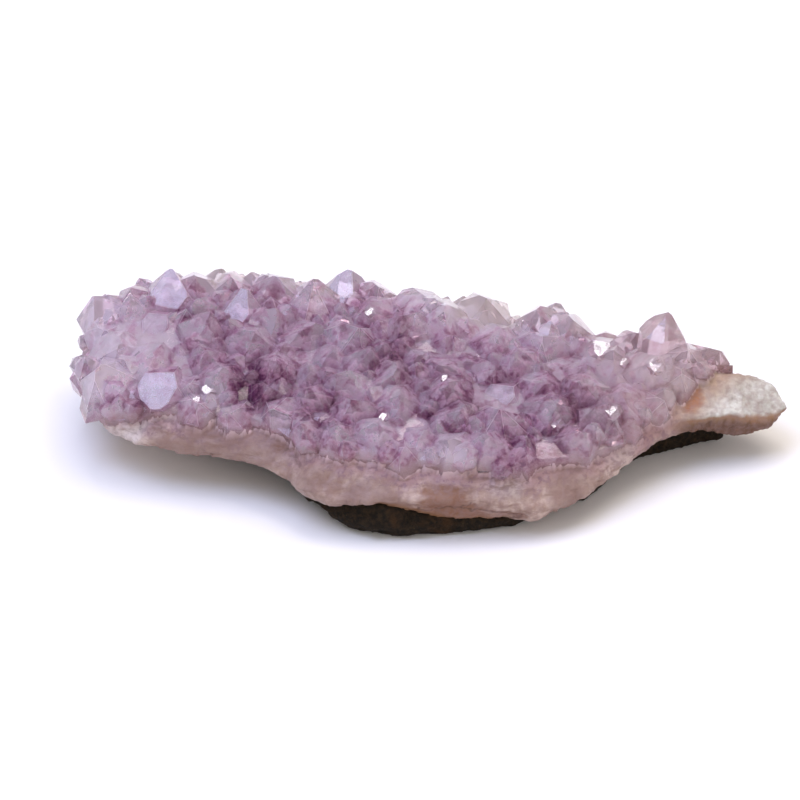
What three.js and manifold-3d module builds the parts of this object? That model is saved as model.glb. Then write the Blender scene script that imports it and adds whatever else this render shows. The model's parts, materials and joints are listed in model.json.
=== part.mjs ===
// A hand-sized plate of rough amethyst: a bed of pointed purple quartz crystals, grown on a band of
// massive white quartz, with the dark basalt of the cavity wall still on its underside.
// Millimetres, +Z up. X runs along the plate, from its broad end to its thin bare tail, and -Y is the
// front, where the white band shows under the crystals. The basalt's worn foot rests on z = 0.

import * as THREE from "three";
import { ConvexGeometry } from "three/addons/geometries/ConvexGeometry.js";
import { mergeVertices } from "three/addons/utils/BufferGeometryUtils.js";
import Module from "manifold-3d";

const wasm = await Module();
wasm.setup();

// Driving dimensions
const JOINT_GAP = 0.3; // between two pieces that lie on each other
const CRUST_THICKNESS = 2.2; // the fused roots of the crystals, over the white quartz
const BED_TILT = 0.09; // rise of the bed for each millimetre towards the back
const SHOULDER_DROP = 3.2; // how far the bed rounds down at its edge
const SHOULDER_WIDTH = 4;
const BED_WAVE = 0.9; // height of the bed's own bumps
const CONTACT_WAVE = 0.7;
const WAVE_SIZE = 17; // length of those bumps
const GRID_STEP = 9.5; // sampling of the two buried surfaces
const GRID_LOW = new THREE.Vector2(-76, -40);
const GRID_HIGH = new THREE.Vector2(76, 42);
const DEEP = -30;
const EDGE_SAMPLES = 58;
const SIDE_WAVE_SIZE = 5; // length of the bumps along a broken side
const BROAD_END_RISE = 6.2; // how far the basalt thins out under the broad end
const TAIL_RISE = 1.5; // and under the tail
const FOOT_LEVEL = -1; // the basalt's own underside, cut flat at zero
const FOOT_WAVE = 1.3;
const FOOT_WAVE_SIZE = 11;
const ROOT_ROUGHNESS = 0.6; // how far the bumps of each piece's side reach
const QUARTZ_ROUGHNESS = 0.9;
const BASALT_ROUGHNESS = 1.1;

// Plan outlines, anticlockwise from the broad end along the front. Each is a smooth closed curve.
const CRYSTAL_EDGE = [
  [-63.2, 6], [-62.2, -3.5], [-56, -7.5], [-44, -9], [-35, -10.5], [-27, -14], [-19, -20], [-8, -23],
  [5, -24], [17, -23.5], [26, -20.5], [34, -15], [40, -9], [44, -3], [48, 2.5], [53, 6], [57.5, 9.5],
  [54, 13], [45, 15], [36, 14.5], [30, 17], [23, 22], [10, 25], [-3, 27.5], [-16, 29.5], [-30, 30],
  [-43, 30], [-55, 28.5], [-62, 24.5], [-63.5, 14],
];
const QUARTZ_EDGE = [
  [-61, 4], [-59, -5], [-52.5, -10.7], [-43, -13], [-33, -15], [-26, -20], [-19.5, -26.5], [-8, -28.5],
  [5, -28.5], [18, -28], [27, -24.5], [35, -16.5], [42, -9], [49, -4], [58, -2.5], [64.5, -0.5], [66, 4],
  [61.5, 9], [54, 12], [45, 13.5], [36, 13.5], [30, 16], [23, 21], [10, 24], [-3, 26.5], [-16, 28.5],
  [-30, 29], [-43, 29], [-54, 27.5], [-60, 22.5], [-61.5, 13],
];
const BASALT_EDGE = [
  [-46, 5], [-41, -1], [-35, -5], [-28, -9], [-22, -18.5], [-16.5, -25.5], [-6, -29.5], [5, -28],
  [17, -25.5], [20, -21], [24, -19.8], [28, -17.5], [31.5, -13.5], [35, -7.5], [39.5, -1.8], [44, 0],
  [50, 1.6], [54.5, 3.4], [55.5, 6], [52, 9], [47, 11], [36, 11.5], [22, 16], [8, 20], [-8, 24], [-22, 26],
  [-36, 23], [-44, 14],
];
// The line along the middle of the plate that its edges draw in towards
const SPINE = [[-52, 7], [-30, 8], [-8, 1], [20, -3], [38, 2], [56, 3.5]];

// Heights along the plate, as x and z
const BED_CROWN = [
  [-66, 15], [-45, 16], [-20, 14.6], [5, 14.8], [25, 13.4], [40, 13], [54, 13.2], [66, 13],
];
const CONTACT = [
  [-66, 9], [-58, 8.3], [-42, 8.2], [-28.5, 7.8], [-19, 5.2], [-9.5, 7.2], [1, 5], [8, 3.6], [15, 3.4],
  [21, 2], [25, 3.6], [29, 5], [35.5, 5.6], [40, 7.8], [47.5, 8.2], [57, 6], [66, 7],
];

// Repeatable random numbers, and a smooth wave that depends only on the place
let seed = 4711;
function random() {
  seed = (seed * 48271) % 2147483647;
  return seed / 2147483647;
}

function between(low, high) {
  return low + (high - low) * random();
}

function lattice(i, j, k) {
  const s = Math.sin(i * 127.1 + j * 311.7 + k * 74.7) * 43758.5453;
  return 2 * (s - Math.floor(s)) - 1;
}

function wave(x, y, z = 0) {
  const cell = [x, y, z].map(Math.floor);
  const part = [x, y, z].map((v, i) => THREE.MathUtils.smoothstep(v - cell[i], 0, 1));
  let sum = 0;
  for (const [i, j, k] of [0, 1, 2, 3, 4, 5, 6, 7].map((n) => [n & 1, (n >> 1) & 1, n >> 2])) {
    const share = [i, j, k].map((on, axis) => (on ? part[axis] : 1 - part[axis]));
    sum += share[0] * share[1] * share[2] * lattice(cell[0] + i, cell[1] + j, cell[2] + k);
  }
  return sum;
}

// A height read from a list of [x, z] with smooth steps between its rows
function along(rows, x) {
  const n = rows.findIndex((row) => row[0] > x);
  if (n === 0) return rows[0][1];
  if (n < 0) return rows[rows.length - 1][1];
  const [[x0, z0], [x1, z1]] = [rows[n - 1], rows[n]];
  return z0 + (z1 - z0) * THREE.MathUtils.smoothstep(x, x0, x1);
}

function closedCurve(points) {
  const curve = new THREE.CatmullRomCurve3(points.map(([x, y]) => new THREE.Vector3(x, y, 0)), true);
  return curve.getSpacedPoints(EDGE_SAMPLES).slice(0, -1);
}

const crystalEdge = closedCurve(CRYSTAL_EDGE);
const quartzEdge = closedCurve(QUARTZ_EDGE);
const spine = SPINE.map(([x, y]) => new THREE.Vector3(x, y, 0));

function nearestOn(points, p, closed) {
  const segment = new THREE.Line3();
  const found = new THREE.Vector3();
  const best = { distance: Infinity, point: new THREE.Vector3() };
  for (let i = 0; i < points.length - (closed ? 0 : 1); i++) {
    segment.set(points[i], points[(i + 1) % points.length]);
    segment.closestPointToPoint(p, true, found);
    const distance = found.distanceTo(p);
    if (distance < best.distance) {
      best.distance = distance;
      best.point.copy(found);
    }
  }
  return best;
}

function isInside(points, p) {
  let inside = false;
  points.forEach((a, i) => {
    const b = points[(i + 1) % points.length];
    if (a.y > p.y !== b.y > p.y && p.x < a.x + ((b.x - a.x) * (p.y - a.y)) / (b.y - a.y)) inside = !inside;
  });
  return inside;
}

// How far a place is inside an edge, negative outside, and the way out of it
function edgeAt(edge, x, y) {
  const p = new THREE.Vector3(x, y, 0);
  const near = nearestOn(edge, p, true);
  const inside = isInside(edge, p);
  const outward = near.point.clone().sub(p).multiplyScalar(inside ? 1 : -1).normalize();
  return { depth: inside ? near.distance : -near.distance, outward };
}

// The surface that the crystals grow on, which is the white quartz's top
function bedHeight(x, y) {
  const depth = Math.max(edgeAt(quartzEdge, x, y).depth, -SHOULDER_WIDTH);
  const shoulder = SHOULDER_DROP * Math.exp(-depth / SHOULDER_WIDTH);
  const bumps = BED_WAVE * wave(x / WAVE_SIZE, y / WAVE_SIZE);
  return along(BED_CROWN, x) + BED_TILT * y - shoulder + bumps;
}

// The surface where the white quartz lies on the basalt
function contactHeight(x, y) {
  return along(CONTACT, x) + CONTACT_WAVE * wave(x / WAVE_SIZE + 5, y / WAVE_SIZE);
}

function toSolid(geometry) {
  const bare = geometry.clone();
  bare.deleteAttribute("normal");
  bare.deleteAttribute("uv");
  const merged = mergeVertices(bare, 1e-4);
  return new wasm.Manifold(new wasm.Mesh({
    numProp: 3,
    vertProperties: new Float32Array(merged.attributes.position.array),
    triVerts: new Uint32Array(merged.index.array),
  }));
}

// The largest closed body of a solid, without the sealed pockets between crystals
function largest(solid) {
  return solid.decompose().reduce((a, b) => (b.volume() > a.volume() ? b : a));
}

function toMesh(name, solid, material) {
  const mesh = solid.getMesh();
  const geometry = new THREE.BufferGeometry();
  geometry.setAttribute("position", new THREE.BufferAttribute(new Float32Array(mesh.vertProperties), 3));
  geometry.setIndex(new THREE.BufferAttribute(new Uint32Array(mesh.triVerts), 1));
  geometry.computeVertexNormals();
  const made = new THREE.Mesh(geometry, material);
  made.name = name;
  return made;
}

function closedGeometry(points, faces) {
  const geometry = new THREE.BufferGeometry();
  geometry.setAttribute("position", new THREE.Float32BufferAttribute(points.flat(), 3));
  geometry.setIndex(faces.flat());
  return geometry;
}

// Everything under a height function, down to a flat bottom
function blockUnder(height) {
  const columns = Math.round((GRID_HIGH.x - GRID_LOW.x) / GRID_STEP);
  const rows = Math.round((GRID_HIGH.y - GRID_LOW.y) / GRID_STEP);
  const points = [];
  const faces = [];
  for (let j = 0; j <= rows; j++) {
    for (let i = 0; i <= columns; i++) {
      const x = THREE.MathUtils.lerp(GRID_LOW.x, GRID_HIGH.x, i / columns);
      const y = THREE.MathUtils.lerp(GRID_LOW.y, GRID_HIGH.y, j / rows);
      points.push([x, y, height(x, y)]);
    }
  }
  const at = (i, j) => j * (columns + 1) + i;
  for (let j = 0; j < rows; j++) {
    for (let i = 0; i < columns; i++) {
      faces.push([at(i, j), at(i + 1, j), at(i + 1, j + 1)], [at(i, j), at(i + 1, j + 1), at(i, j + 1)]);
    }
  }
  const rim = [];
  for (let i = 0; i < columns; i++) rim.push(at(i, 0));
  for (let j = 0; j < rows; j++) rim.push(at(columns, j));
  for (let i = columns; i > 0; i--) rim.push(at(i, rows));
  for (let j = rows; j > 0; j--) rim.push(at(0, j));
  const under = points.length;
  rim.forEach((n) => points.push([points[n][0], points[n][1], DEEP]));
  const centre = points.length;
  points.push([0, 0, DEEP]);
  rim.forEach((n, i) => {
    const next = (i + 1) % rim.length;
    faces.push([rim[next], n, under + i], [rim[next], under + i, under + next]);
    faces.push([under + next, under + i, centre]);
  });
  return toSolid(closedGeometry(points, faces));
}

// A body stacked from rings of one outline. Each level draws its ring in towards the spine by a share,
// and sets its height; rough moves every point a little, so that the side looks broken.
function ringBody(outline, levels, rough) {
  const edge = closedCurve(outline);
  const points = [];
  const faces = [];
  levels.forEach(({ drawIn, height }, level) => {
    edge.forEach((p) => {
      const inner = nearestOn(spine, p, false).point;
      const q = p.clone().lerp(inner, drawIn);
      const way = p.clone().sub(inner).normalize();
      q.addScaledVector(way, rough * wave(p.x / SIDE_WAVE_SIZE, p.y / SIDE_WAVE_SIZE, level));
      const ripple = 0.5 * rough * wave(p.x / SIDE_WAVE_SIZE + 9, p.y / SIDE_WAVE_SIZE, level);
      points.push([q.x, q.y, height(q.x, q.y) + ripple]);
    });
  });
  const count = edge.length;
  for (let level = 0; level < levels.length - 1; level++) {
    for (let i = 0; i < count; i++) {
      const a = level * count + i;
      const b = level * count + ((i + 1) % count);
      faces.push([a, b, b + count], [a, b + count, a + count]);
    }
  }
  const capOf = (first) => {
    const ring = points.slice(first, first + count).map(([x, y]) => new THREE.Vector2(x, y));
    return THREE.ShapeUtils.triangulateShape(ring, []);
  };
  const top = (levels.length - 1) * count;
  capOf(0).forEach(([a, b, c]) => faces.push([a, c, b]));
  capOf(top).forEach(([a, b, c]) => faces.push([top + a, top + b, top + c]));
  return toSolid(closedGeometry(points, faces));
}

// Quartz crystals: a six-sided prism that ends in a pyramid of six faces, each at its own distance
const PYRAMID_ANGLE = THREE.MathUtils.degToRad(51.8); // between a pyramid face's normal and the axis
const ROOT_DEPTH = 4;
const PRISM_SHARE = [0.8, 1.05]; // distance of a prism face from the axis, for the radius
const PYRAMID_LATER = [0, 0.34]; // how much further out a pyramid face lies, for the radius
const LARGE_FACE = -0.12; // the same for a crystal's one large face, which lies further in
const SAME_PLACE = 1e-6;

function crystalPlanes(radius, height, spin, large) {
  const planes = [new THREE.Plane(new THREE.Vector3(0, 0, -1), -ROOT_DEPTH)];
  for (let i = 0; i < 6; i++) {
    const turn = spin + (i * Math.PI) / 3;
    const way = new THREE.Vector3(Math.cos(turn), Math.sin(turn), 0);
    planes.push(new THREE.Plane(way, -radius * between(...PRISM_SHARE)));
    const slant = way.clone().multiplyScalar(Math.sin(PYRAMID_ANGLE));
    slant.z = Math.cos(PYRAMID_ANGLE);
    const later = i === large ? LARGE_FACE : between(...PYRAMID_LATER);
    planes.push(new THREE.Plane(slant, -height * Math.cos(PYRAMID_ANGLE) - radius * later));
  }
  return planes;
}

function meetingPoint(a, b, c) {
  const bc = b.normal.clone().cross(c.normal);
  const size = a.normal.dot(bc);
  if (Math.abs(size) < SAME_PLACE) return null;
  const ca = c.normal.clone().cross(a.normal);
  const ab = a.normal.clone().cross(b.normal);
  return bc.multiplyScalar(-a.constant).addScaledVector(ca, -b.constant).addScaledVector(ab, -c.constant)
    .divideScalar(size);
}

// The corners of the space that lies behind every plane
function cornersOf(planes) {
  const corners = [];
  planes.forEach((a, i) => planes.slice(i + 1).forEach((b, j) => planes.slice(i + j + 2).forEach((c) => {
    const p = meetingPoint(a, b, c);
    if (p && planes.every((plane) => plane.distanceToPoint(p) < SAME_PLACE)) corners.push(p);
  })));
  return corners;
}

function crystal({ x, y, radius, height, lean, spin, large }) {
  const corners = cornersOf(crystalPlanes(radius, height, spin, large));
  const upright = new THREE.Vector3(0, 0, 1);
  const turn = new THREE.Quaternion().setFromUnitVectors(upright, lean);
  const foot = new THREE.Vector3(x, y, bedHeight(x, y));
  return toSolid(new ConvexGeometry(corners.map((p) => p.applyQuaternion(turn).add(foot))));
}

// Crystals that stand out of the bed: place, radius, height, how they lean in x and y, their turn about
// their own axis in degrees and, where one pyramid face is much larger than the others, its number
const NOTABLE = [
  { x: -48.1, y: -3.5, radius: 4.3, height: 5.5, leanX: -1.06, leanY: -4.4, spin: 24, large: 1 },
  { x: -57.3, y: 1, radius: 6.4, height: 6.2, leanX: -0.35, leanY: -0.55, spin: 10 },
  { x: -59.5, y: 20.5, radius: 4.8, height: 6.8, leanX: -0.3, leanY: -0.2, spin: 20 },
  { x: -49.8, y: 12.5, radius: 3.7, height: 3.8, leanX: -1.2, leanY: -3.2, spin: 15, large: 1 },
  { x: -47, y: 20.5, radius: 4.4, height: 7.6, leanX: 0.08, leanY: 0.2, spin: 8, large: 4 },
  { x: -42.5, y: 26, radius: 4.2, height: 6.8, leanX: 0, leanY: -0.4, spin: 5 },
  { x: -35.9, y: 25.5, radius: 4.2, height: 7, leanX: 0.05, leanY: -0.45, spin: 44 },
  { x: -34, y: 17.5, radius: 4, height: 6.6, leanX: 0.08, leanY: 0.2, spin: 8, large: 4 },
  { x: -27.5, y: 25, radius: 4.8, height: 7, leanX: 0, leanY: -0.4, spin: 15 },
  { x: -15, y: 25.5, radius: 5, height: 7, leanX: 0.08, leanY: 0.2, spin: 8, large: 4 },
  { x: -9, y: 25, radius: 4.2, height: 6.6, leanX: 0.1, leanY: -0.4, spin: 52 },
  { x: -37.5, y: -2, radius: 4.8, height: 6, leanX: 0.1, leanY: -0.5, spin: 25 },
  { x: -32, y: 8, radius: 5.4, height: 7, leanX: 0.15, leanY: -0.5, spin: 36 },
  { x: -25, y: -11, radius: 5, height: 5.6, leanX: -0.5, leanY: -0.9, spin: 30, large: 4 },
  { x: -14, y: 10.5, radius: 5.6, height: 7.4, leanX: 0.15, leanY: -0.45, spin: 20 },
  { x: -9, y: -17.5, radius: 4.8, height: 5.6, leanX: 0.1, leanY: -0.6, spin: 40 },
  { x: 3, y: 15.5, radius: 5.2, height: 7.4, leanX: 0.1, leanY: -0.5, spin: 50 },
  { x: 5, y: -19.5, radius: 5, height: 6, leanX: -0.15, leanY: -0.6, spin: 28 },
  { x: 10.5, y: 20.5, radius: 5.2, height: 7.2, leanX: 0.1, leanY: -0.4, spin: 12 },
  { x: 13.2, y: -5.5, radius: 4, height: 4.2, leanX: -1.2, leanY: -3.2, spin: 15, large: 1 },
  { x: 21.2, y: 17.6, radius: 4.8, height: 8, leanX: -0.1, leanY: -0.35, spin: 6 },
  { x: 26, y: 16.4, radius: 4.8, height: 8, leanX: 0.15, leanY: -0.4, spin: 38 },
  { x: 29.5, y: 10.8, radius: 3.6, height: 3.9, leanX: -1.2, leanY: -3.2, spin: 15, large: 1 },
  { x: 33, y: 4, radius: 5.4, height: 6.4, leanX: 0.2, leanY: -0.5, spin: 40 },
  { x: 40, y: 3, radius: 5, height: 6.4, leanX: 0.25, leanY: -0.45, spin: 34 },
  { x: 42.5, y: 10.7, radius: 4.55, height: 9.7, leanX: 0.19, leanY: 0.19, spin: 305 },
  { x: 52, y: 9.5, radius: 3.8, height: 5, leanX: 0.35, leanY: -0.4, spin: 30 },
];
// Sizes of the rest, as tries, radius and how tall they stand for it
const FILL_FROM = new THREE.Vector2(-66, -28);
const FILL_TO = new THREE.Vector2(58, 31);
const FILLERS = [
  { tries: 500, radius: [5.1, 6.3], stands: [1.05, 1.25] },
  { tries: 900, radius: [4.1, 5], stands: [1.05, 1.3] },
  { tries: 2500, radius: [3.2, 4.1], stands: [1.05, 1.3] },
];
const EDGE_OVERLAP = 0.2; // how far inside the bed's edge a crystal stands, for its radius
const EDGE_RADIUS = 3.2; // the largest crystal right at the bed's edge
const EDGE_GROWTH = 0.5; // and how much larger they may be for each millimetre inside it
const CROWDING = 0.61; // distance between two crystals for the sum of their radii
const EDGE_LEAN = 0.5; // how strongly the crystals at the edge lean out
const LOOSE_LEAN = 0.3; // how far any crystal leans by itself
const FRONT_LEAN = 0.45; // how far the whole bed leans to the front

function leanAt(x, y, leanX, leanY) {
  const { depth, outward } = edgeAt(crystalEdge, x, y);
  const out = outward.multiplyScalar(EDGE_LEAN * Math.exp(-Math.max(depth, 0) / SHOULDER_WIDTH));
  return out.add(new THREE.Vector3(leanX, leanY - FRONT_LEAN, 1)).normalize();
}

function placeCrystals() {
  const placed = NOTABLE.map(({ leanX, leanY, spin, ...rest }) => ({
    ...rest,
    lean: new THREE.Vector3(leanX, leanY, 1).normalize(),
    spin: THREE.MathUtils.degToRad(spin),
  }));
  for (const { tries, radius, stands } of FILLERS) {
    for (let n = 0; n < tries; n++) {
      const x = between(FILL_FROM.x, FILL_TO.x);
      const y = between(FILL_FROM.y, FILL_TO.y);
      const r = between(...radius);
      const height = r * between(...stands);
      const spin = between(0, Math.PI / 3);
      const [leanX, leanY] = [between(-LOOSE_LEAN, LOOSE_LEAN), between(-LOOSE_LEAN, LOOSE_LEAN)];
      const { depth } = edgeAt(crystalEdge, x, y);
      if (depth < EDGE_OVERLAP * r || r > EDGE_RADIUS + EDGE_GROWTH * depth) continue;
      if (placed.some((c) => Math.hypot(c.x - x, c.y - y) < CROWDING * (c.radius + r))) continue;
      placed.push({ x, y, radius: r, height, spin, lean: leanAt(x, y, leanX, leanY) });
    }
  }
  return placed;
}

// The three pieces, cut from each other along the bed and along the contact
const underBed = blockUnder(bedHeight);
const underContact = blockUnder(contactHeight);

function amethystCrystals() {
  const crystals = placeCrystals().map(crystal);
  const roots = ringBody(CRYSTAL_EDGE, [
    { drawIn: 0.05, height: (x, y) => bedHeight(x, y) - 4 },
    { drawIn: 0.0, height: (x, y) => bedHeight(x, y) + 0.4 * CRUST_THICKNESS },
    { drawIn: 0.14, height: (x, y) => bedHeight(x, y) + 6 },
  ], ROOT_ROUGHNESS).intersect(underBed.translate(0, 0, CRUST_THICKNESS));
  return largest(wasm.Manifold.union([roots, ...crystals]).subtract(underBed));
}

function whiteQuartz() {
  const rim = (x, y) => Math.min(bedHeight(x, y), along(BED_CROWN, x));
  const body = ringBody(QUARTZ_EDGE, [
    { drawIn: 0.2, height: (x, y) => contactHeight(x, y) - 3 },
    { drawIn: 0.05, height: (x, y) => contactHeight(x, y) },
    { drawIn: 0.03, height: (x, y) => 0.5 * (contactHeight(x, y) + rim(x, y)) - 1 },
    { drawIn: 0.0, height: (x, y) => rim(x, y) - 1.6 },
    { drawIn: 0.16, height: (x, y) => rim(x, y) + 1.2 },
    { drawIn: 0.4, height: (x, y) => rim(x, y) + 8 },
  ], QUARTZ_ROUGHNESS);
  return largest(body.intersect(underBed.translate(0, 0, -JOINT_GAP)).subtract(underContact));
}

// The basalt's broken underside: it is worn flat where it stands, and thins out under the broad end
function footHeight(x, y) {
  const broadEnd = BROAD_END_RISE * THREE.MathUtils.smoothstep(-x - 0.7 * y, 24, 42);
  const tail = TAIL_RISE * THREE.MathUtils.smoothstep(x, 40, 55);
  return FOOT_LEVEL + broadEnd + tail + FOOT_WAVE * wave(x / FOOT_WAVE_SIZE, y / FOOT_WAVE_SIZE, 3);
}

function basaltMatrix() {
  const body = ringBody(BASALT_EDGE, [
    { drawIn: 0.26, height: () => -6 },
    { drawIn: 0.06, height: () => 0 },
    { drawIn: 0.02, height: () => 2.4 },
    { drawIn: 0.12, height: (x, y) => contactHeight(x, y) + 3 },
  ], BASALT_ROUGHNESS).subtract(blockUnder(footHeight));
  const ground = toSolid(new THREE.BoxGeometry(200, 200, 60).translate(0, 0, 30));
  return largest(body.intersect(underContact.translate(0, 0, -JOINT_GAP)).intersect(ground));
}

const AMETHYST = new THREE.MeshStandardMaterial({ color: "#a184a6", roughness: 0.18, metalness: 0 });
const QUARTZ = new THREE.MeshStandardMaterial({ color: "#cfc3bd", roughness: 0.6, metalness: 0 });
const BASALT = new THREE.MeshStandardMaterial({ color: "#35302a", roughness: 0.92, metalness: 0 });

const part = new THREE.Group();
part.add(toMesh("amethyst_crystals", amethystCrystals(), AMETHYST));
part.add(toMesh("white_quartz", whiteQuartz(), QUARTZ));
part.add(toMesh("basalt_matrix", basaltMatrix(), BASALT));

export default part;
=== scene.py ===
# %% [markdown]
# # A plate of rough amethyst
#
# The real thing is a hand-sized piece of a lava cavity's lining. Dark basalt is the cavity's wall,
# massive white quartz grew on it first, and the open space inside was then lined with pointed
# crystals of amethyst. This lesson dresses the solid model of that plate: it makes each of the three
# layers in finer mesh, gives each its own mineral, and lights them as a small studio would.

# %% Load the solid model
import json
import math

import bmesh
import bpy
import numpy as np
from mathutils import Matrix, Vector, noise
from mathutils.bvhtree import BVHTree

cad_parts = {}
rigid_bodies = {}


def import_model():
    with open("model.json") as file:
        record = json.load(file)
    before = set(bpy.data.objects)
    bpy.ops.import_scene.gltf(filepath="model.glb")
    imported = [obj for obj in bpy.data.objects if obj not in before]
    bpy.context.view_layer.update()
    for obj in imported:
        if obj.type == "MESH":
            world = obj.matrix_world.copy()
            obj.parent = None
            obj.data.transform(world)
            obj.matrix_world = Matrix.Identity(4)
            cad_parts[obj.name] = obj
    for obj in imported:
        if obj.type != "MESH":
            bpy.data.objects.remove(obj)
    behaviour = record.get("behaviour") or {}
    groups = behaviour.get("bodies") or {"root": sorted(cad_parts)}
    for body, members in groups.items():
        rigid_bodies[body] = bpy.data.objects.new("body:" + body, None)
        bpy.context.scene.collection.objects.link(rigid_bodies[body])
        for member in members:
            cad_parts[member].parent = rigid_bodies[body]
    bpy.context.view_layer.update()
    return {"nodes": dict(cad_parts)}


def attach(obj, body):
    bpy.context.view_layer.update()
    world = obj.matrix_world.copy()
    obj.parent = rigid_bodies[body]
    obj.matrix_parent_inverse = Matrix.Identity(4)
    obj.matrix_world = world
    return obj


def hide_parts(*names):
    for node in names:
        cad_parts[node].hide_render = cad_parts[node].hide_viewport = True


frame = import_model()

MM = 0.001

# %% [markdown]
# ## Colours and nodes
#
# Colours are easiest to read as the hex values of a picture, but the renderer adds light in linear
# values. One function turns the first into the second. Every material below is a tree of nodes, so
# a second small function adds a node, sets it and links it in one call.

# %% Colours and nodes
def linear(hex_colour):
    parts = [int(hex_colour[i : i + 2], 16) / 255 for i in (1, 3, 5)]
    return [p / 12.92 if p <= 0.04045 else ((p + 0.055) / 1.055) ** 2.4 for p in parts] + [1.0]


def add_node(tree, kind, settings=None, links=None):
    """Adds a node. A link's value is a socket; any other value sets the input of that name or number."""
    node = tree.nodes.new(kind)
    for name, value in (settings or {}).items():
        setattr(node, name, value)
    for name, value in (links or {}).items():
        if isinstance(value, bpy.types.NodeSocket):
            tree.links.new(value, node.inputs[name])
        else:
            node.inputs[name].default_value = value
    return node


def new_material(name):
    material = bpy.data.materials.new(name)
    material.use_nodes = True
    material.node_tree.nodes.clear()
    return material, material.node_tree


print("mid grey, #808080, is", round(linear("#808080")[0], 3), "in linear values")

# %% [markdown]
# ## The camera
#
# The photograph looks down on the plate's front at about 33 degrees, from far enough away that
# near and far crystals keep almost the same size. A long lens from 1.2 m does that. The frame is 800
# pixels across, and 5.46 of them make a millimetre of the plate.

# %% Camera
FRAME_PIXELS = 800
PIXELS_PER_MM = 5.46
VIEW_HEIGHT = math.radians(33)
VIEW_DISTANCE = 1.2
AIM = Vector((-4.6, 0, 11.3)) * MM
SENSOR = 36
NEAREST_SEEN, FURTHEST_SEEN = 0.01, 20

camera_data = bpy.data.cameras.new("long_lens")
camera_data.sensor_width = SENSOR
camera_data.lens = SENSOR * VIEW_DISTANCE / (FRAME_PIXELS / PIXELS_PER_MM * MM)
camera_data.clip_start = NEAREST_SEEN
camera_data.clip_end = FURTHEST_SEEN
camera = bpy.data.objects.new("long_lens", camera_data)
bpy.context.collection.objects.link(camera)
towards_camera = Vector((0, -math.cos(VIEW_HEIGHT), math.sin(VIEW_HEIGHT)))
camera.location = AIM + towards_camera * VIEW_DISTANCE
camera.rotation_euler = (-towards_camera).to_track_quat("-Z", "Y").to_euler()
bpy.context.scene.camera = camera
print("lens", round(camera_data.lens), "mm")

# %% [markdown]
# ## The studio
#
# A pale floor, a bright even surround and four lamps. Crystal faces are mirrors, so what they show is
# the lamps. The cool window stands where the large left faces of upright crystals mirror it to the
# camera, which gives the few bluish faces. A broad lamp above lights the bed, a weak one in front
# opens the shade, and a small one far off is what a few faces throw back as white sparks.

# %% Lamps
def soft_lamp(name, towards, distance, size, power, colour):
    data = bpy.data.lights.new(name, "AREA")
    data.shape = "RECTANGLE"
    data.size, data.size_y = size
    data.energy = power
    data.color = linear(colour)[:3]
    lamp = bpy.data.objects.new(name, data)
    bpy.context.collection.objects.link(lamp)
    way = Vector(towards).normalized()
    lamp.location = way * distance
    lamp.rotation_euler = way.to_track_quat("Z", "Y").to_euler()


soft_lamp("window", (-0.4, -0.05, 0.9), 0.9, (0.62, 0.62), 4.8, "#c6d2ff")
soft_lamp("overhead", (0.25, 0.35, 0.9), 0.9, (0.7, 0.6), 3.6, "#fff1e6")
soft_lamp("sparkle", (-0.1, 0.45, 0.887), 3, (0.36, 0.36), 4.5, "#ffffff")
soft_lamp("front_fill", (0.45, -0.8, 0.4), 1.1, (0.5, 0.5), 1.6, "#fff3ec")
print("lamps:", {light.name: round(light.energy, 1) for light in bpy.data.lights}, "W")

# %% Surround and floor
SURROUND = 0.62
FLOOR = 3.0  # half the side of the floor, in metres
FLOOR_SUNK = 0.2  # in mm, so that the plate's flat underside and the floor never coincide

world = bpy.data.worlds.new("soft_surround")
world.use_nodes = True
world.node_tree.nodes["Background"].inputs["Color"].default_value = linear("#faf5f2")
world.node_tree.nodes["Background"].inputs["Strength"].default_value = SURROUND
bpy.context.scene.world = world
bpy.context.scene.view_settings.view_transform = "Standard"

floor_mesh = bpy.data.meshes.new("floor")
floor_corners = [(-FLOOR, -FLOOR, 0), (FLOOR, -FLOOR, 0), (FLOOR, FLOOR, 0), (-FLOOR, FLOOR, 0)]
floor_mesh.from_pydata(floor_corners, [], [(0, 1, 2, 3)])
floor = bpy.data.objects.new("floor", floor_mesh)
floor.location.z = -FLOOR_SUNK * MM
bpy.context.collection.objects.link(floor)
paper, tree = new_material("pale_paper")
surface = add_node(tree, "ShaderNodeBsdfPrincipled", links={
    "Base Color": linear("#f6f6f6"), "Roughness": 0.9})
add_node(tree, "ShaderNodeOutputMaterial", links={"Surface": surface.outputs["BSDF"]})
floor_mesh.materials.append(paper)
print("floor", 2 * FLOOR, "m wide, surround at", SURROUND)
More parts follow.
